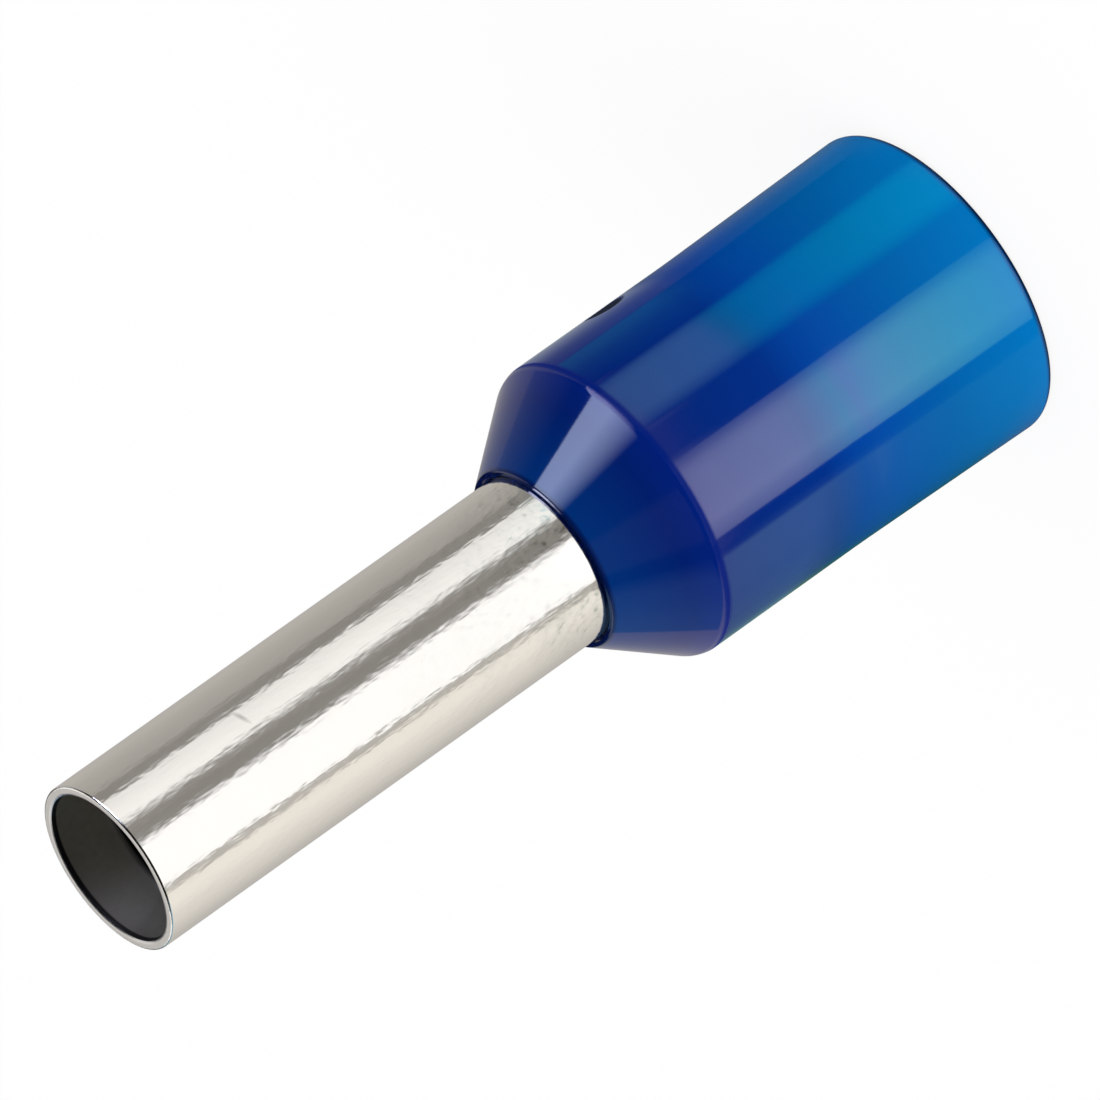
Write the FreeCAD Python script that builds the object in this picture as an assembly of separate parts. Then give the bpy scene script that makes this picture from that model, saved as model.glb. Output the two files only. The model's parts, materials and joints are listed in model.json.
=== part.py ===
import FreeCAD, Part
import math
import os

# An insulated wire ferrule for a 2.5 mm2 stranded conductor, standing on the mouth of its collar.
# Sizes are in millimetres. The axis is Z. Height 0 is the mouth, and the sleeve's tip points up.

# Metal sleeve: drawn copper tube, tin plated, opened to a bell where it ends inside the collar
sleeve_bore = 2.28
sleeve_wall = 0.16
sleeve_reach = 7.9  # from the collar's front ring to the tip
tip_outer_round = 0.03
tip_inner_round = 0.04
bell_clearance = 0.15  # from the bell's rim to the collar's bore, on the radius
bell_lip_round = 0.04  # on the rim's inside edge, where the strands slide in

# Insulating collar: one polypropylene moulding with an even wall
collar_bore = 4.1  # along the straight stretch
collar_wall = 0.28
ring_width = 0.107  # flat front ring round the sleeve, on the radius
ring_outer_round = 0.03
ring_countersink = 0.04  # small bevel on the ring's inside edge
cone_length = 1.25
straight_length = 2.8
flare_length = 3.25
flare_rise = 0.064  # how far the wall has moved outwards at the mouth
flare_start_round = 12
shoulder_round = 0.25
inner_shoulder_round = 0.12
rim_outer_round = 0.16
rim_inner_round = 0.08

# Gate scar: the shallow dimple that the moulding gate left, on the side that faces +X
gate_length = 0.65
gate_depth = 0.03
gate_below_shoulder = 1.55  # from the cone's foot down to the middle of the dimple

# Radii and heights that follow from the sizes above
bore_radius = sleeve_bore / 2
sleeve_radius = bore_radius + sleeve_wall
ring_radius = sleeve_radius + ring_width
inner_radius = collar_bore / 2
body_radius = inner_radius + collar_wall
bell_radius = inner_radius - bell_clearance
shoulder_height = flare_length + straight_length
front_height = shoulder_height + cone_length
tip_height = front_height + sleeve_reach
gate_height = shoulder_height - gate_below_shoulder

# The collar's inner cone runs parallel to its outer cone, one wall deeper, and the bell lies on it
cone_angle = math.atan((body_radius - ring_radius) / cone_length)
inner_shoulder_height = shoulder_height - collar_wall * math.tan(cone_angle / 2)
seat_height = inner_shoulder_height + (inner_radius - sleeve_radius) / math.tan(cone_angle)
bell_height = seat_height - (bell_radius - sleeve_radius) / math.tan(cone_angle)

# Tube and collar turn onto that cone in one bend, which starts level with the front ring
bend_round = (front_height - seat_height) / math.tan(cone_angle / 2)

axis_point = FreeCAD.Vector(0, 0, 0)
axis_up = FreeCAD.Vector(0, 0, 1)
shortest_line = 1e-6


def at(radius, height):
    return FreeCAD.Vector(radius, 0, height)


def corner_edges(before, corner, after, size):
    # The round on one corner, as its arc with the points where it starts and ends
    back = (before - corner).normalize()
    ahead = (after - corner).normalize()
    half_angle = back.getAngle(ahead) / 2
    inwards = (back + ahead).normalize()
    start = corner + back * (size / math.tan(half_angle))
    end = corner + ahead * (size / math.tan(half_angle))
    middle = corner + inwards * (size / math.sin(half_angle) - size)
    return start, end, [Part.Arc(start, middle, end).toShape()]


def revolved(corners):
    # Corners are radius, height and round. They go once round the section, which is then revolved
    points = [at(radius, height) for radius, height, size in corners]
    runs = []
    for index, corner in enumerate(points):
        size = corners[index][2]
        after = points[(index + 1) % len(points)]
        if size > 0:
            runs.append(corner_edges(points[index - 1], corner, after, size))
        else:
            runs.append((corner, corner, []))
    outline = []
    for index, (start, end, arc) in enumerate(runs):
        next_start = runs[(index + 1) % len(runs)][0]
        outline += arc
        if end.distanceToPoint(next_start) > shortest_line:
            outline.append(Part.LineSegment(end, next_start).toShape())
    return Part.Face(Part.Wire(outline)).revolve(axis_point, axis_up, 360)


def make_collar():
    collar = revolved([
        (body_radius + flare_rise, 0, rim_outer_round),
        (body_radius, flare_length, flare_start_round),
        (body_radius, shoulder_height, shoulder_round),
        (ring_radius, front_height, ring_outer_round),
        (sleeve_radius, front_height, 0),
        (sleeve_radius, seat_height, bend_round),
        (inner_radius, inner_shoulder_height, inner_shoulder_round),
        (inner_radius, flare_length, flare_start_round + collar_wall),
        (inner_radius + flare_rise, 0, rim_inner_round),
    ])
    countersink = Part.makeCone(
        sleeve_radius,
        sleeve_radius + ring_countersink,
        ring_countersink,
        at(0, front_height - ring_countersink),
    )
    gate_ball_radius = ((gate_length / 2) ** 2 + gate_depth ** 2) / (2 * gate_depth)
    gate_ball = Part.makeSphere(gate_ball_radius, at(body_radius - gate_depth + gate_ball_radius, gate_height))
    return collar.cut(countersink).cut(gate_ball)


def make_sleeve():
    # The bell's rim is cut square to its wall, so its inside edge is lower than its outside edge
    lip_radius = bell_radius - sleeve_wall * math.cos(cone_angle)
    lip_height = bell_height - sleeve_wall * math.sin(cone_angle)
    return revolved([
        (bore_radius, tip_height, tip_inner_round),
        (sleeve_radius, tip_height, tip_outer_round),
        (sleeve_radius, seat_height, bend_round),
        (bell_radius, bell_height, 0),
        (lip_radius, lip_height, bell_lip_round),
        (bore_radius, seat_height - sleeve_wall * math.tan(cone_angle / 2), bend_round + sleeve_wall),
    ])


pieces = {
    "metal_sleeve": make_sleeve(),
    "insulating_collar": make_collar(),
}

os.makedirs("parts", exist_ok=True)
for name, shape in pieces.items():
    shape.exportStep("parts/" + name + ".step")
    print(name, "solids", len(shape.Solids), "valid", shape.isValid(), "mm3", round(shape.Volume, 3))
print("overall height", round(tip_height, 3), "cone half angle", round(math.degrees(cone_angle), 2))
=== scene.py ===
import json
import math

import bmesh
import bpy
from mathutils import Matrix, Vector


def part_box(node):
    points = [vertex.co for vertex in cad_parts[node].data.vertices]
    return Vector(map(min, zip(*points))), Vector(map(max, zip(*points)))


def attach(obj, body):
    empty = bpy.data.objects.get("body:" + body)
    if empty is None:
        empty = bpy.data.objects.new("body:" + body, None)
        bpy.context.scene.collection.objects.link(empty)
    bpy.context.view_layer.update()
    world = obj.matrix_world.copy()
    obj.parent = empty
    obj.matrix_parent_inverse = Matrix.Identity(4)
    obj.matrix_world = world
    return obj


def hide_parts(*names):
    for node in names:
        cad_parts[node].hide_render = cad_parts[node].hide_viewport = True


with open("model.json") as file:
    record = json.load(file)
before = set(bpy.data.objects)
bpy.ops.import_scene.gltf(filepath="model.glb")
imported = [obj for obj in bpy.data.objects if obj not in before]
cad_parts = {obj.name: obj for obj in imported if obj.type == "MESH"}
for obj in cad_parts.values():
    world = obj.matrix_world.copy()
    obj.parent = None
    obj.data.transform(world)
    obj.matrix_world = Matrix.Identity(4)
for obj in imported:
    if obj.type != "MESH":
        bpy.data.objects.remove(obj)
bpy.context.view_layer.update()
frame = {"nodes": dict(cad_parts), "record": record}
print("frame loaded:", ", ".join(sorted(frame["nodes"])))

# Both pieces are modelled in millimetres, because bevels lose accuracy on such short edges in metres
metresPerMm = 0.001
mmPerMetre = 1000

dims = {mount["name"]: mount["dims"] for mount in frame["record"]["mounts"]}
collarLow, collarHigh = [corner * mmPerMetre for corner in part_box("insulating_collar")]
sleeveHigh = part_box("metal_sleeve")[1] * mmPerMetre

segments = 384  # round the axis, a multiple of 4 so that one point faces the gate scar
degreesPerSegment = 7  # of the turn at each round
fewestSegments = 3
sharpFrom = 40  # degrees between faces
nearEnough = 1e-4  # mm, when points are picked by their place


# Modelling

def startTurning(name, radius, height):
    bpy.ops.object.select_all(action="DESELECT")
    bpy.ops.mesh.primitive_circle_add(vertices=segments, radius=radius, location=(0, 0, height))
    piece = bpy.context.object
    piece.name = name
    piece.data.name = name
    bpy.ops.object.transform_apply()
    bpy.ops.object.mode_set(mode="EDIT")
    bpy.ops.mesh.select_mode(type="EDGE")
    bpy.ops.mesh.select_all(action="SELECT")
    return piece


def selectRings(piece, places):
    # Picks the whole rings of edges that lie at these radii and heights
    mesh = bmesh.from_edit_mesh(piece.data)
    for edge in mesh.edges:
        edge.select_set(False)
    for edge in mesh.edges:
        for radius, height in places:
            if all(abs(math.hypot(v.co.x, v.co.y) - radius) < nearEnough
                   and abs(v.co.z - height) < nearEnough for v in edge.verts):
                edge.select_set(True)
    bmesh.update_edit_mesh(piece.data)


def turnedPiece(name, outline):
    # outline goes once round the section: radius, height and the round on that corner
    piece = startTurning(name, outline[0][0], outline[0][1])
    for (radius, height, _), (nextRadius, nextHeight, _) in zip(outline, outline[1:]):
        bpy.ops.mesh.extrude_edges_move(TRANSFORM_OT_translate={"value": (0, 0, nextHeight - height)})
        share = nextRadius / radius
        bpy.ops.transform.resize(value=(share, share, 1), center_override=(0, 0, nextHeight))
    selectRings(piece, [outline[0][:2], outline[-1][:2]])
    bpy.ops.mesh.bridge_edge_loops()

    for index, (radius, height, size) in enumerate(outline):
        if size == 0:
            continue
        corner = Vector((radius, height))
        back = (Vector(outline[index - 1][:2]) - corner).normalized()
        ahead = (Vector(outline[(index + 1) % len(outline)][:2]) - corner).normalized()
        halfAngle = back.angle(ahead) / 2
        turn = 180 - math.degrees(halfAngle) * 2
        selectRings(piece, [(radius, height)])
        bpy.ops.mesh.bevel(
            offset=size / math.tan(halfAngle),
            segments=max(fewestSegments, round(turn / degreesPerSegment)),
            profile=0.5,  # a true arc
            affect="EDGES",
        )
    bpy.ops.mesh.select_all(action="SELECT")
    bpy.ops.mesh.normals_make_consistent(inside=False)
    return piece


def finishPiece(piece, node):
    bpy.ops.object.mode_set(mode="OBJECT")
    bpy.ops.object.select_all(action="DESELECT")
    piece.select_set(True)
    bpy.context.view_layer.objects.active = piece
    bpy.ops.object.shade_smooth_by_angle(angle=math.radians(sharpFrom))
    # Long flat-lying faces keep their own direction, so that reflections run straight up to each round
    bpy.ops.object.modifier_add(type="WEIGHTED_NORMAL")
    piece.modifiers[-1].keep_sharp = True
    bpy.ops.object.modifier_apply(modifier=piece.modifiers[-1].name)
    piece.scale = (metresPerMm, metresPerMm, metresPerMm)
    bpy.ops.object.transform_apply(location=False, rotation=False, scale=True)
    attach(piece, "root")
    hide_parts(node)
    print(piece.name, "made,", len(piece.data.polygons), "faces")


# Materials

white = (1, 1, 1, 1)
noiseLow = 0.3  # most of a noise texture's values lie between these two
noiseHigh = 0.7


def addNode(owner, kind, settings=None, links=None):
    # Settings are the node's own properties or its sockets' values. Links go into its sockets, which are
    # given by number where two have one name
    node = owner.node_tree.nodes.new(kind)
    for name, value in (settings or {}).items():
        if name in node.inputs:
            node.inputs[name].default_value = value
        else:
            setattr(node, name, value)
    for socket, source in (links or {}).items():
        owner.node_tree.links.new(source, node.inputs[socket])
    return node


def linear(hexColour):
    # Turns an sRGB colour as it is written, such as "#80a0ff", to linear values by the standard's curve
    parts = [int(hexColour[at:at + 2], 16) / 255 for at in (1, 3, 5)]
    return [p / 12.92 if p <= 0.04045 else ((p + 0.055) / 1.055) ** 2.4 for p in parts] + [1]


def newMaterial(name):
    material = bpy.data.materials.new(name)
    material.use_nodes = True
    material.node_tree.nodes.clear()
    return material


def setRamp(ramp, stops):
    while len(ramp.elements) < len(stops):
        ramp.elements.new(0.5)  # moved to its place below
    for element, (position, colour) in zip(ramp.elements, stops):
        element.position = position
        element.color = linear(colour)


# Copper tube drawn through a die and tin plated: bright, with very fine lines along its length, faint
# dents that only show where a reflection ends, and one dull scratch across it
drawnTin = {
    "colour": "#f3f1eb",
    "roughness": 0.09,
    "roughest": 0.14,
    "cloudSize": 0.6,  # mm, of the duller patches
    "cloudDetail": 3,
    "lineSpacing": 0.045,  # mm, coarser than the real lines, which are too fine to show
    "lineLength": 0.9,  # mm
    "lineDepth": 0.0014,  # mm
    "lineDetail": 2,
    "lineGrit": 0.6,  # how strong the finest lines are
    "dentSize": 0.085,  # mm, across the tube
    "dentLength": 0.2,  # mm
    "dentDepth": 0.0036,  # mm
    "dentDetail": 1,
    "scratchColour": "#bdb9b3",
    "scratchHeight": 12.82,  # mm
    "scratchTurn": -54.3,  # degrees round the axis from +X
    "scratchLean": 15,  # degrees, from square across the tube
    "scratchSize": (0.1, 0.2, 0.05),  # mm, half its extent through the wall, round the tube and along it
}


def drawnTinnedCopper():
    look = drawnTin
    material = newMaterial("drawnTinnedCopper")
    place = addNode(material, "ShaderNodeTexCoord")
    along = addNode(material, "ShaderNodeMapping", {
        "Scale": (1, 1, look["lineSpacing"] / look["lineLength"]),
    }, {"Vector": place.outputs["Object"]})
    lines = addNode(material, "ShaderNodeTexNoise", {
        "Scale": mmPerMetre / look["lineSpacing"],
        "Detail": look["lineDetail"],
        "Roughness": look["lineGrit"],
    }, {"Vector": along.outputs["Vector"]})
    clouds = addNode(material, "ShaderNodeTexNoise", {
        "Scale": mmPerMetre / look["cloudSize"],
        "Detail": look["cloudDetail"],
    }, {"Vector": place.outputs["Object"]})
    dullness = addNode(material, "ShaderNodeMapRange", {
        "From Min": noiseLow,
        "From Max": noiseHigh,
        "To Min": look["roughness"],
        "To Max": look["roughest"],
    }, {"Value": clouds.outputs["Fac"]})
    longer = addNode(material, "ShaderNodeMapping", {
        "Scale": (1, 1, look["dentSize"] / look["dentLength"]),
    }, {"Vector": place.outputs["Object"]})
    dents = addNode(material, "ShaderNodeTexNoise", {
        "Scale": mmPerMetre / look["dentSize"],
        "Detail": look["dentDetail"],
    }, {"Vector": longer.outputs["Vector"]})
    turn = math.radians(look["scratchTurn"])
    fromScratch = addNode(material, "ShaderNodeMapping", {
        "vector_type": "TEXTURE",
        "Location": Vector((
            sleeve["outerRadius"] * math.cos(turn),
            sleeve["outerRadius"] * math.sin(turn),
            look["scratchHeight"],
        )) * metresPerMm,
        "Rotation": (math.radians(look["scratchLean"]), 0, turn),
        "Scale": Vector(look["scratchSize"]) * metresPerMm,
    }, {"Vector": place.outputs["Object"]})
    scratch = addNode(material, "ShaderNodeTexGradient", {"gradient_type": "SPHERICAL"}, {
        "Vector": fromScratch.outputs["Vector"],
    })
    colour = addNode(material, "ShaderNodeMixRGB", {
        "Color1": linear(look["colour"]),
        "Color2": linear(look["scratchColour"]),
    }, {"Fac": scratch.outputs["Fac"]})
    dented = addNode(material, "ShaderNodeBump", {
        "Distance": look["dentDepth"] * metresPerMm,
    }, {"Height": dents.outputs["Fac"]})
    relief = addNode(material, "ShaderNodeBump", {
        "Distance": look["lineDepth"] * metresPerMm,
    }, {"Height": lines.outputs["Fac"], "Normal": dented.outputs["Normal"]})
    shader = addNode(material, "ShaderNodeBsdfPrincipled", {
        "Metallic": 1,
    }, {
        "Base Color": colour.outputs["Color"],
        "Roughness": dullness.outputs["Result"],
        "Normal": relief.outputs["Normal"],
    })
    addNode(material, "ShaderNodeOutputMaterial", {}, {"Surface": shader.outputs["BSDF"]})
    return material


# The face where the tube was cut off: smooth, and duller than the drawn surface
cutFace = {"colour": "#e4e2e0", "roughness": 0.3}


def cutTinnedCopper():
    material = newMaterial("cutTinnedCopper")
    shader = addNode(material, "ShaderNodeBsdfPrincipled", {
        "Base Color": linear(cutFace["colour"]),
        "Metallic": 1,
        "Roughness": cutFace["roughness"],
    })
    addNode(material, "ShaderNodeOutputMaterial", {}, {"Surface": shader.outputs["BSDF"]})
    return material


# The inside of the same tube: drawn over a plug and left dull. Its colour holds painted shade, nearly
# black at the cut edge and again deep inside
plugDrawnBore = {
    "tones": [  # by share of toneDepth, from the tip: painted shade at the cut edge and deep inside, grey between
        (0.0, "#1e1c1a"),
        (0.055, "#1e1c1a"),
        (0.075, "#918b7e"),
        (0.6, "#b4ae9f"),
        (0.73, "#c0bab0"),
        (0.81, "#1c1a18"),
    ],
    "toneDepth": 1.2,  # mm
    "metallic": 0.9,
    "roughness": 0.5,
    "roughest": 0.65,
    "grainSize": 0.12,  # mm
    "grainDetail": 3,
}


def dullTinnedBore():
    look = plugDrawnBore
    material = newMaterial("dullTinnedBore")
    place = addNode(material, "ShaderNodeTexCoord")
    height = addNode(material, "ShaderNodeSeparateXYZ", {}, {"Vector": place.outputs["Object"]})
    depth = addNode(material, "ShaderNodeMapRange", {
        "From Min": sleeveHigh.z * metresPerMm,
        "From Max": (sleeveHigh.z - look["toneDepth"]) * metresPerMm,
    }, {"Value": height.outputs["Z"]})
    # The bore's colour by depth, with painted shade at the cut edge and deep inside
    tones = addNode(material, "ShaderNodeValToRGB", {}, {"Fac": depth.outputs["Result"]})
    setRamp(tones.color_ramp, look["tones"])
    grain = addNode(material, "ShaderNodeTexNoise", {
        "Scale": mmPerMetre / look["grainSize"],
        "Detail": look["grainDetail"],
    }, {"Vector": place.outputs["Object"]})
    dullness = addNode(material, "ShaderNodeMapRange", {
        "From Min": noiseLow,
        "From Max": noiseHigh,
        "To Min": look["roughness"],
        "To Max": look["roughest"],
    }, {"Value": grain.outputs["Fac"]})
    shader = addNode(material, "ShaderNodeBsdfPrincipled", {
        "Metallic": look["metallic"],
    }, {
        "Base Color": tones.outputs["Color"],
        "Roughness": dullness.outputs["Result"],
    })
    addNode(material, "ShaderNodeOutputMaterial", {}, {"Surface": shader.outputs["BSDF"]})
    return material


# Injection-moulded polypropylene, pigmented but see-through, and glossy. Its colour holds painted light:
# lighter towards the mouth, where daylight gets in through the thin wall
moulded = {
    "tones": [  # by share of the height, from the rim: painted shade at the rim's edge, which looks nearly black, then painted light that is brightest near the mouth
        (0.0, "#001238"),
        (0.01, "#001c50"),
        (0.02, "#0080ce"),
        (0.08, "#0078c5"),
        (0.23, "#0067b5"),
        (0.39, "#0052af"),
        (0.47, "#0046a6"),
        (0.55, "#003390"),
        (0.72, "#002a83"),
        (0.82, "#00207c"),
        (0.88, "#001f6e"),
        (0.993, "#003078"),
        # painted shade on the ring round the sleeve
        (0.997, "#00134a"),
    ],
    # by the same shares, where black is the shoulder's round, whose reflection is taken out there: painted
    # shade
    "shineTones": [(0.815, "#ffffff"), (0.8175, "#000000"), (0.828, "#000000"), (0.8305, "#ffffff")],
    "sheen": 0.5,  # the plain reflection of the ior
    "roughness": 0.07,
    "ior": 1.49,
    "transmission": 0.15,
    "waveSize": 1.6,  # mm, the slight unevenness of a thin moulded wall
    "waveDepth": 0.003,  # mm
    "waveDetail": 1,
    "tornTone": "#00132b",  # where the gate broke off, the plastic is torn and dull, and painted dark as the shade in its dimple
    "tornRoughness": 0.8,
    "tornSheen": 0.1,
    "tornReach": 0.37,  # mm
    "tornFull": 0.35,  # share of the way in from the reach's end at which it is wholly torn
}


def bluePolypropylene():
    look = moulded
    material = newMaterial("bluePolypropylene")
    place = addNode(material, "ShaderNodeTexCoord")
    height = addNode(material, "ShaderNodeSeparateXYZ", {}, {"Vector": place.outputs["Object"]})
    share = addNode(material, "ShaderNodeMapRange", {
        "From Min": collarLow.z * metresPerMm,
        "From Max": collarHigh.z * metresPerMm,
    }, {"Value": height.outputs["Z"]})
    # the colour by height, with its painted light and shade
    tones = addNode(material, "ShaderNodeValToRGB", {}, {"Fac": share.outputs["Result"]})
    setRamp(tones.color_ramp, look["tones"])
    shine = addNode(material, "ShaderNodeValToRGB", {}, {"Fac": share.outputs["Result"]})
    setRamp(shine.color_ramp, look["shineTones"])
    waves = addNode(material, "ShaderNodeTexNoise", {
        "Scale": mmPerMetre / look["waveSize"],
        "Detail": look["waveDetail"],
    }, {"Vector": place.outputs["Object"]})
    relief = addNode(material, "ShaderNodeBump", {
        "Distance": look["waveDepth"] * metresPerMm,
    }, {"Height": waves.outputs["Fac"]})
    fromGate = addNode(material, "ShaderNodeMapping", {
        "vector_type": "TEXTURE",
        "Location": Vector((bodyRadius, 0, gate["height"])) * metresPerMm,
        "Scale": [look["tornReach"] * metresPerMm] * 3,
    }, {"Vector": place.outputs["Object"]})
    nearGate = addNode(material, "ShaderNodeTexGradient", {"gradient_type": "SPHERICAL"}, {
        "Vector": fromGate.outputs["Vector"],
    })
    torn = addNode(material, "ShaderNodeMapRange", {
        "interpolation_type": "SMOOTHSTEP",
        "From Max": look["tornFull"],
    }, {"Value": nearGate.outputs["Fac"]})
    roughness = addNode(material, "ShaderNodeMapRange", {
        "To Min": look["roughness"],
        "To Max": look["tornRoughness"],
    }, {"Value": torn.outputs["Result"]})
    # no reflection on the shoulder's round, a painted shade
    shadedShoulderSheen = addNode(material, "ShaderNodeMapRange", {
        "To Max": look["sheen"],
    }, {"Value": shine.outputs["Color"]})
    sheen = addNode(material, "ShaderNodeMapRange", {
        "To Max": look["tornSheen"],
    }, {"Value": torn.outputs["Result"], "To Min": shadedShoulderSheen.outputs["Result"]})
    # painted shade in the gate's dimple, over the colours by height
    colour = addNode(material, "ShaderNodeMixRGB", {
        "Color2": linear(look["tornTone"]),
    }, {"Fac": torn.outputs["Result"], "Color1": tones.outputs["Color"]})
    shader = addNode(material, "ShaderNodeBsdfPrincipled", {
        "IOR": look["ior"],
        "Transmission Weight": look["transmission"],
    }, {
        "Base Color": colour.outputs["Color"],
        "Roughness": roughness.outputs["Result"],
        "Specular IOR Level": sheen.outputs["Result"],
        "Normal": relief.outputs["Normal"],
    })
    addNode(material, "ShaderNodeOutputMaterial", {}, {"Surface": shader.outputs["BSDF"]})
    return material


# Insulating collar: one moulding, from the rim that it stands on up to the front ring round the sleeve
collar = {
    "wall": 0.28,
    "boreRadius": dims["insulation_entry"]["r_mm"],
    "mouthRadius": collarHigh.y,
    "ringWidth": 0.107,
    "countersink": 0.04,
    "coneLength": 1.25,
    "flareLength": 3.25,
    "flareRound": 12,
    "shoulderRound": 0.25,
    "innerShoulderRound": 0.12,
    "rimOuterRound": 0.15,
    "rimInnerRound": 0.08,
    "ringRound": 0.03,
    "fitGap": 0.004,  # from the sleeve, so that the two surfaces don't coincide
    "bendShare": 0.8,  # of the sleeve's bend, so that the collar's ends well below its countersink
}

# Sleeve: drawn tube with a bell at its lower end, seated on the cone inside the collar
sleeve = {
    "boreRadius": dims["conductor_bore"]["r_mm"],
    "outerRadius": dims["sleeve_barrel"]["r_mm"],
    "bellRadius": sleeveHigh.y,
    "tipOuterRound": 0.03,
    "tipInnerRound": 0.06,
    "cutFaceUpTo": 0.75,  # how upright the inner round's faces are where the dark bore begins
    "lipRound": 0.04,
    "bendTangent": 0.28,  # how far the bend reaches from its corner
}

# Gate scar: the shallow dimple on the side that faces +X
gate = {"height": 4.5, "radius": 0.325, "depth": 0.03, "ringSpacing": 0.04, "ringCount": 20}

bodyRadius = collar["boreRadius"] + collar["wall"]
ringRadius = sleeve["outerRadius"] + collar["ringWidth"]
frontHeight = collarHigh.z
shoulderHeight = frontHeight - collar["coneLength"]
coneAngle = math.atan((bodyRadius - ringRadius) / collar["coneLength"])
innerShoulder = shoulderHeight - collar["wall"] * math.tan(coneAngle / 2)
seatHeight = innerShoulder + (collar["boreRadius"] - sleeve["outerRadius"]) / math.tan(coneAngle)
bendRound = sleeve["bendTangent"] / math.tan(coneAngle / 2)


def makeCollar():
    holeRadius = sleeve["outerRadius"] + collar["fitGap"]
    gateRings = [
        (bodyRadius, gate["height"] + gate["ringSpacing"] * (step - gate["ringCount"] / 2), 0)
        for step in range(gate["ringCount"] + 1)
    ]
    piece = turnedPiece("collarMoulding", [
        (collar["mouthRadius"], collarLow.z, collar["rimOuterRound"]),
        (bodyRadius, collar["flareLength"], collar["flareRound"]),
        *gateRings,
        (bodyRadius, shoulderHeight, collar["shoulderRound"]),
        (ringRadius, frontHeight, collar["ringRound"]),
        (holeRadius + collar["countersink"], frontHeight, 0),
        (holeRadius, frontHeight - collar["countersink"], 0),
        (holeRadius, seatHeight, bendRound * collar["bendShare"]),
        (collar["boreRadius"], innerShoulder, collar["innerShoulderRound"]),
        (collar["boreRadius"], collar["flareLength"], collar["flareRound"]),
        (collar["mouthRadius"] - collar["wall"], collarLow.z, collar["rimInnerRound"]),
    ])
    # The dimple: one point is pushed in, and those round it follow it less and less
    mesh = bmesh.from_edit_mesh(piece.data)
    bpy.ops.mesh.select_mode(type="VERT")
    middle = Vector((bodyRadius, 0, gate["height"]))
    for vertex in mesh.verts:
        vertex.select_set((vertex.co - middle).length < nearEnough)
    bmesh.update_edit_mesh(piece.data)
    bpy.ops.transform.translate(
        value=(-gate["depth"], 0, 0),
        use_proportional_edit=True,
        use_proportional_connected=True,
        proportional_edit_falloff="INVERSE_SQUARE",
        proportional_size=gate["radius"],
    )
    piece.data.materials.append(bluePolypropylene())
    finishPiece(piece, "insulating_collar")


def makeSleeve():
    wall = sleeve["outerRadius"] - sleeve["boreRadius"]
    bellHeight = seatHeight - (sleeve["bellRadius"] - sleeve["outerRadius"]) / math.tan(coneAngle)
    innerBend = seatHeight - wall * math.tan(coneAngle / 2)
    piece = turnedPiece("sleeveTube", [
        (sleeve["bellRadius"], bellHeight, 0),
        (sleeve["outerRadius"], seatHeight, bendRound),
        (sleeve["outerRadius"], sleeveHigh.z, sleeve["tipOuterRound"]),
        (sleeve["boreRadius"], sleeveHigh.z, sleeve["tipInnerRound"]),
        (sleeve["boreRadius"], innerBend, bendRound + wall),
        (
            sleeve["bellRadius"] - wall * math.cos(coneAngle),
            bellHeight - wall * math.sin(coneAngle),
            sleeve["lipRound"],
        ),
    ])
    finishes = [drawnTinnedCopper, dullTinnedBore, cutTinnedCopper]
    for finish in finishes:
        piece.data.materials.append(finish())
    mesh = bmesh.from_edit_mesh(piece.data)
    for face in mesh.faces:
        middle = face.calc_center_median()
        facesAxis = face.normal.x * middle.x + face.normal.y * middle.y < -nearEnough
        if facesAxis and face.normal.z < sleeve["cutFaceUpTo"]:
            face.material_index = finishes.index(dullTinnedBore)
        elif facesAxis or middle.z > sleeveHigh.z - nearEnough:
            face.material_index = finishes.index(cutTinnedCopper)
    bmesh.update_edit_mesh(piece.data)
    finishPiece(piece, "metal_sleeve")


makeCollar()
makeSleeve()


# Camera: above the ferrule and turned about its own line of sight, so that the tip points down to the left
shot = {
    "azimuth": 7,  # degrees
    "elevation": 24.88,
    "roll": -125.4,
    "aimHeight": 7.13,  # mm
    "aimAside": 0.052,  # mm, towards the unrolled camera's right
    "distance": 287.2,  # mm
    "frameWidth": 14.95,  # mm across the picture at that distance
    "sensor": 36,  # mm
    "clipStart": 0.01,  # m
}

azimuth, elevation, roll = [math.radians(shot[name]) for name in ("azimuth", "elevation", "roll")]
towardsCamera = Vector((math.sin(azimuth), -math.cos(azimuth), 0))
aside = Vector((math.cos(azimuth), math.sin(azimuth), 0))
backwards = towardsCamera * math.cos(elevation) + Vector((0, 0, math.sin(elevation)))
upwards = backwards.cross(aside)
cameraRight = math.cos(roll) * aside + math.sin(roll) * upwards
cameraUp = math.cos(roll) * upwards - math.sin(roll) * aside
aim = (Vector((0, 0, shot["aimHeight"])) + aside * shot["aimAside"]) * metresPerMm

cameraData = bpy.data.cameras.new("camera")
cameraData.sensor_width = shot["sensor"]
cameraData.lens = shot["sensor"] * shot["distance"] / shot["frameWidth"]
cameraData.clip_start = shot["clipStart"]
camera = bpy.data.objects.new("camera", cameraData)
camera.matrix_world = Matrix.Translation(aim + backwards * shot["distance"] * metresPerMm) @ Matrix(
    (cameraRight, cameraUp, backwards)
).transposed().to_4x4()
bpy.context.scene.collection.objects.link(camera)
bpy.context.scene.camera = camera


# Studio: white floor, even white light, one soft lamp, and cards that only reflections see
studio = {
    "floorSize": 2.0,  # m
    "floorColour": "#fbfbfb",
    "floorGlow": 0.88,  # share of the floor's own white where it is looked at, which keeps its shadow faint
    "light": 0.82,  # the even light from all round, on dull surfaces
    "darkRoom": 0.01,  # what reflections see between the cards
    "lampPower": 0.8,  # W
    "lampSize": 0.3,  # m
    "lampDistance": 0.5,
    "lampAzimuth": 40,  # degrees, counted as on the cards
    "lampElevation": 45,
    "cardSegments": 720,  # two to a degree
}

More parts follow.
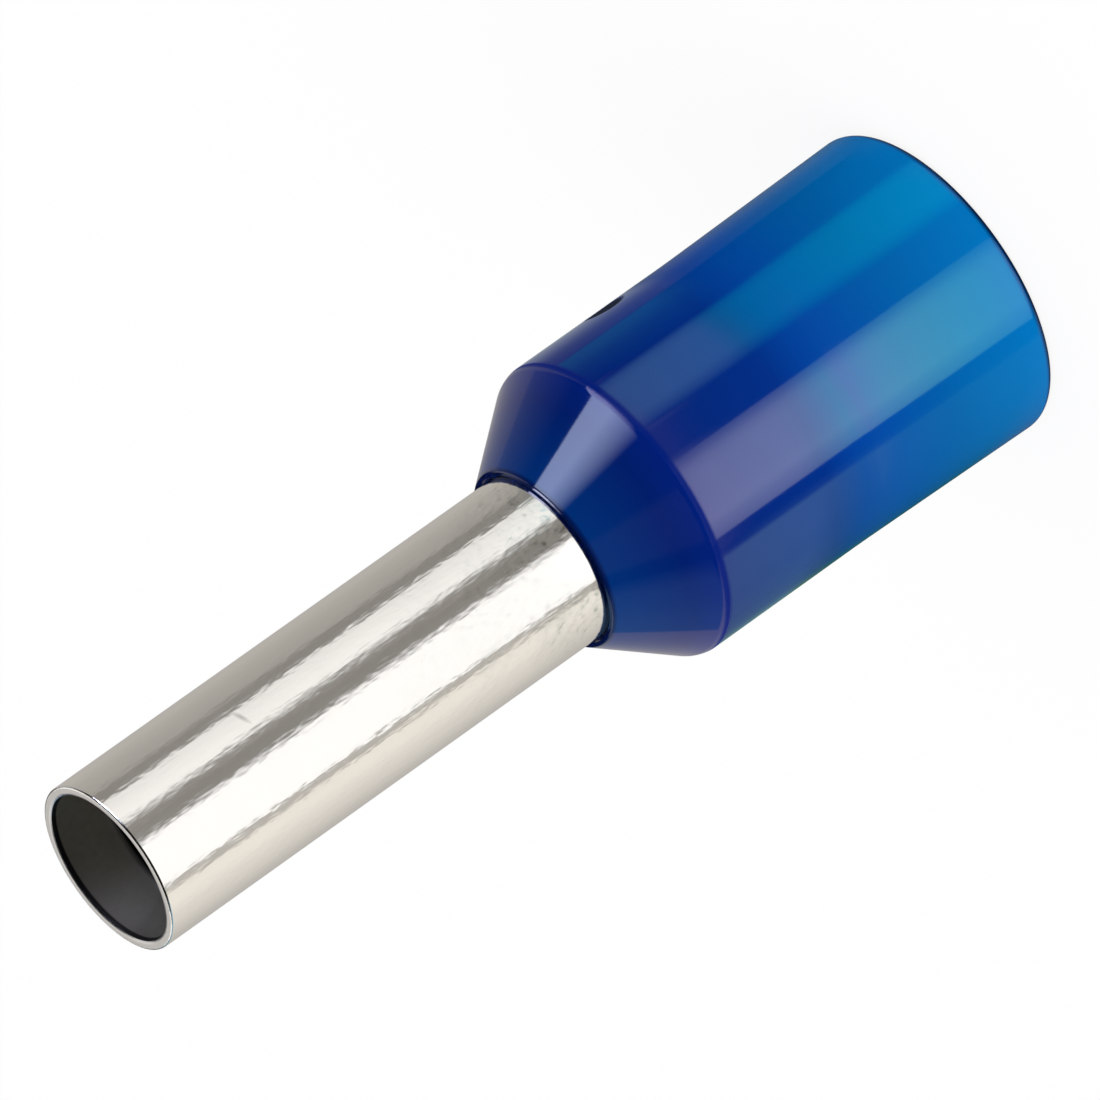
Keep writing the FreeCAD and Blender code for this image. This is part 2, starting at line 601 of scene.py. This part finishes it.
# Curved cards round the ferrule, like softboxes and grey walls. Each has its distance from the axis in mm,
# its strength by degrees round, counted from the camera towards its right, and its colour by height in mm.
# The sleeve mirrors the three named for the tube, the collar's body the five at 20 mm, which are bluer or
# greener towards its mouth, and the cone and the tip mirror those named for them
cards = {
    "tubeWalls": {
        "distance": 60,
        "round": [
            (-180, 0.45), (-144, 0.5), (-110, 0.43), (-92, 0.4), (-86, 0.28), (-73, 0.27), (-60, 0.27),
            (-27, 0.32), (-18, 0.27), (-7, 0.28), (58.5, 0.5), (66, 0.52),
            (70, 0.93), (84, 0.92), (100, 0.81), (120, 0.71), (144, 0.56), (180, 0.45),
        ],
        "upright": [(-21.4, "#fffaf4"), (15, "#fffaf4")],
    },
    "tubeMainBox": {
        "distance": 59,
        "round": [(-7, 0.28), (2, 1.16), (56, 1.16), (58.5, 0.5)],
        "upright": [(-21.2, "#fefdff"), (15, "#fefdff")],
    },
    "tubeSideBox": {
        "distance": 59,
        "round": [(-72, 0.3), (-69, 0.88), (-38, 1.05), (-28, 0.32)],
        "upright": [(-21.2, "#fffdfd"), (15, "#fffdfd")],
    },
    "mainBox": {
        "distance": 20,
        "round": [(-3, 1.2), (1, 2.2), (6, 3.7), (12, 4.4), (42, 4.75), (47, 3.9), (54, 2.9), (56, 2.3)],
        "upright": [
            (-40, "#7c7c80"), (-9, "#7c7c80"), (-7, "#7ce4a4"), (-6.1, "#91f4b0"), (-5.2, "#acffc2"),
            (-4.6, "#c8e2cc"), (-4.2, "#dee4e2"), (-3.4, "#dbdfe4"), (-2.1, "#e2dfee"),
        ],
    },
    "sideBox": {
        "distance": 20,
        "round": [(-77, 0.05), (-72, 1.1), (-66, 1.5), (-45, 1.7), (-40, 1.6), (-34, 0.85), (-30, 0.05)],
        "upright": [
            (-40, "#7c8c94"), (-9, "#7c8c94"), (-7.8, "#00ffe9"), (-4.9, "#00ffe9"), (-4.55, "#40f0dc"),
            (-4.3, "#9eecff"), (-2.3, "#a6ecff"),
        ],
    },
    "dimWall": {
        "distance": 20,
        "round": [(-116, 0.45), (-106, 0.42), (-97, 0.26), (-79, 0.06)],
        "upright": [
            (-40, "#7c8c94"), (-9, "#7c8c94"), (-8, "#000000"), (-5.4, "#000000"), (-4.6, "#60ecff"),
            (-2.3, "#80f4ff"),
        ],
    },
    "farWall": {
        "distance": 20,
        "round": [
            (63, 0.05), (68, 0.3), (71, 1.4), (90, 1.1), (106, 0.75), (128, 0.45), (144, 0.32), (180, 0.4),
        ],
        "upright": [
            (-40, "#7c8c94"), (-9, "#7c8c94"), (-8, "#46893f"), (-6.5, "#46953f"), (-5.4, "#5cb34c"),
            (-4.9, "#94d380"), (-4.4, "#b4f3de"), (-2.4, "#c6f3e9"),
        ],
    },
    "nearWall": {
        "distance": 20,
        "round": [(-180, 0.5), (-144, 0.5), (-128, 0.26), (-116, 0.2)],
        "upright": [
            (-40, "#7c8c94"), (-9, "#7c8c94"), (-8, "#8e9aa4"), (-5.5, "#8e9aa4"), (-5.1, "#e0ecf0"),
            (-2.6, "#e6f0f6"),
        ],
    },
    "coneBox": {
        "distance": 58,
        "round": [(-80, 7.0), (-62, 7.8), (-54, 5.9), (-46, 3.9), (-34, 0.04)],
        "upright": [(8, "#aca8d4"), (40, "#c6ccee"), (43, "#d2e1ff"), (69, "#d2e1ff")],
    },
    "coneFarWall": {
        "distance": 60,
        "round": [(72, 0.02), (88, 0.5), (116, 0.6), (144, 0.42), (165, 0.4)],
        "upright": [(15, "#a8dcff"), (50, "#a8dcff")],
    },
    "coneNearWall": {
        "distance": 60,
        "round": [(-150, 0.45), (-128, 0.35), (-94, 0.02)],
        "upright": [(15, "#e6f0ff"), (50, "#e6f0ff")],
    },
    "tipBox": {
        "distance": 60,
        "round": [(130, 1.0), (230, 1.0)],
        "upright": [(38.5, "#fffcf8"), (80, "#fffcf8")],
    },
}


def between(stops, place):
    # Reads a list of places and values, with an even change from each to the next
    for (start, first), (end, last) in zip(stops, stops[1:]):
        if start <= place <= end:
            return first + (last - first) * (place - start) / (end - start)
    return 0


def degreesRound(point, first):
    # Counted from the camera towards its right, and not less than first
    turned = math.degrees(math.atan2(point.dot(-aside), point.dot(towardsCamera)))
    return turned if turned >= first else turned + 360


def glowing():
    material = newMaterial("cardGlow")
    glow = addNode(material, "ShaderNodeAttribute", {"attribute_name": "glow"})
    shader = addNode(material, "ShaderNodeEmission", {"Strength": 1}, {"Color": glow.outputs["Color"]})
    addNode(material, "ShaderNodeOutputMaterial", {}, {"Surface": shader.outputs["Emission"]})
    material.cycles.emission_sampling = "NONE"  # reflections find it, and nothing is lit by it
    return material


def makeCard(name, look, material):
    colours = [(height, Vector(linear(colour))) for height, colour in look["upright"]]
    heights = [height for height, _ in colours]
    start, end = look["round"][0][0], look["round"][-1][0]
    bpy.ops.object.select_all(action="DESELECT")
    bpy.ops.mesh.primitive_circle_add(
        vertices=studio["cardSegments"],
        radius=look["distance"] * metresPerMm,
        location=(0, 0, heights[0] * metresPerMm),
    )
    card = bpy.context.object
    card.name = name
    bpy.ops.object.transform_apply()
    bpy.ops.object.mode_set(mode="EDIT")
    bpy.ops.mesh.select_mode(type="VERT")
    mesh = bmesh.from_edit_mesh(card.data)
    for vertex in mesh.verts:
        vertex.select_set(degreesRound(vertex.co, start) > end)
    bmesh.update_edit_mesh(card.data)
    bpy.ops.mesh.delete(type="VERT")
    bpy.ops.mesh.select_all(action="SELECT")
    for low, high in zip(heights, heights[1:]):
        bpy.ops.mesh.extrude_edges_move(TRANSFORM_OT_translate={"value": (0, 0, (high - low) * metresPerMm)})
    bpy.ops.object.mode_set(mode="OBJECT")
    glow = card.data.attributes.new("glow", "FLOAT_COLOR", "POINT")
    for vertex in card.data.vertices:
        height = min(max(vertex.co.z * mmPerMetre, heights[0]), heights[-1])  # it may be rounded past an end
        strength = between(look["round"], degreesRound(vertex.co, start))
        glow.data[vertex.index].color = between(colours, height) * strength
    card.data.materials.append(material)
    card.visible_camera = False
    card.visible_diffuse = False
    card.visible_transmission = False
    card.visible_shadow = False


def lookedAt(owner):
    # 1 where the camera sees it, straight or through the collar, and 0 where it only lights something
    ray = addNode(owner, "ShaderNodeLightPath")
    return addNode(owner, "ShaderNodeMath", {"operation": "MAXIMUM"}, {
        0: ray.outputs["Is Camera Ray"],
        1: ray.outputs["Is Transmission Ray"],
    }).outputs["Value"]


def makeFloor():
    bpy.ops.object.select_all(action="DESELECT")
    bpy.ops.mesh.primitive_plane_add(size=studio["floorSize"])
    floor = bpy.context.object
    floor.name = "floor"
    material = newMaterial("whitePaper")
    paper = addNode(material, "ShaderNodeBsdfDiffuse", {"Color": linear(studio["floorColour"])})
    glow = addNode(material, "ShaderNodeEmission", {"Color": white, "Strength": 1})
    share = addNode(material, "ShaderNodeMath", {"operation": "MULTIPLY"}, {0: lookedAt(material)})
    share.inputs[1].default_value = studio["floorGlow"]
    surface = addNode(material, "ShaderNodeMixShader", {}, {
        "Fac": share.outputs["Value"],
        1: paper.outputs["BSDF"],
        2: glow.outputs["Emission"],
    })
    addNode(material, "ShaderNodeOutputMaterial", {}, {"Surface": surface.outputs["Shader"]})
    material.cycles.emission_sampling = "NONE"
    floor.data.materials.append(material)
    floor.visible_glossy = False  # the polished tube mirrors the studio, as it does in the photograph


def makeWorld():
    world = bpy.data.worlds.new("studio")
    world.use_nodes = True
    world.node_tree.nodes.clear()
    bpy.context.scene.world = world
    light = addNode(world, "ShaderNodeBackground", {"Color": white, "Strength": studio["light"]})
    room = addNode(world, "ShaderNodeBackground", {"Color": white, "Strength": studio["darkRoom"]})
    backdrop = addNode(world, "ShaderNodeBackground", {"Color": white, "Strength": 1})
    ray = addNode(world, "ShaderNodeLightPath")
    unseen = addNode(world, "ShaderNodeMixShader", {}, {
        "Fac": ray.outputs["Is Glossy Ray"],
        1: light.outputs["Background"],
        2: room.outputs["Background"],
    })
    surface = addNode(world, "ShaderNodeMixShader", {}, {
        "Fac": lookedAt(world),
        1: unseen.outputs["Shader"],
        2: backdrop.outputs["Background"],
    })
    addNode(world, "ShaderNodeOutputWorld", {}, {"Surface": surface.outputs["Shader"]})


def makeLamp():
    data = bpy.data.lights.new("softLamp", "AREA")
    data.shape = "DISK"
    data.size = studio["lampSize"]
    data.energy = studio["lampPower"]
    lamp = bpy.data.objects.new("softLamp", data)
    turn, rise = math.radians(studio["lampAzimuth"]), math.radians(studio["lampElevation"])
    flat = towardsCamera * math.cos(turn) - aside * math.sin(turn)
    direction = flat * math.cos(rise) + Vector((0, 0, math.sin(rise)))
    lamp.location = aim + direction * studio["lampDistance"]
    lamp.rotation_euler = direction.to_track_quat("Z", "Y").to_euler()
    lamp.visible_glossy = False
    bpy.context.scene.collection.objects.link(lamp)


makeFloor()
cardGlow = glowing()
for name, look in cards.items():
    makeCard(name, look, cardGlow)
makeWorld()
makeLamp()
bpy.context.scene.view_settings.view_transform = "Standard"
print("studio made")
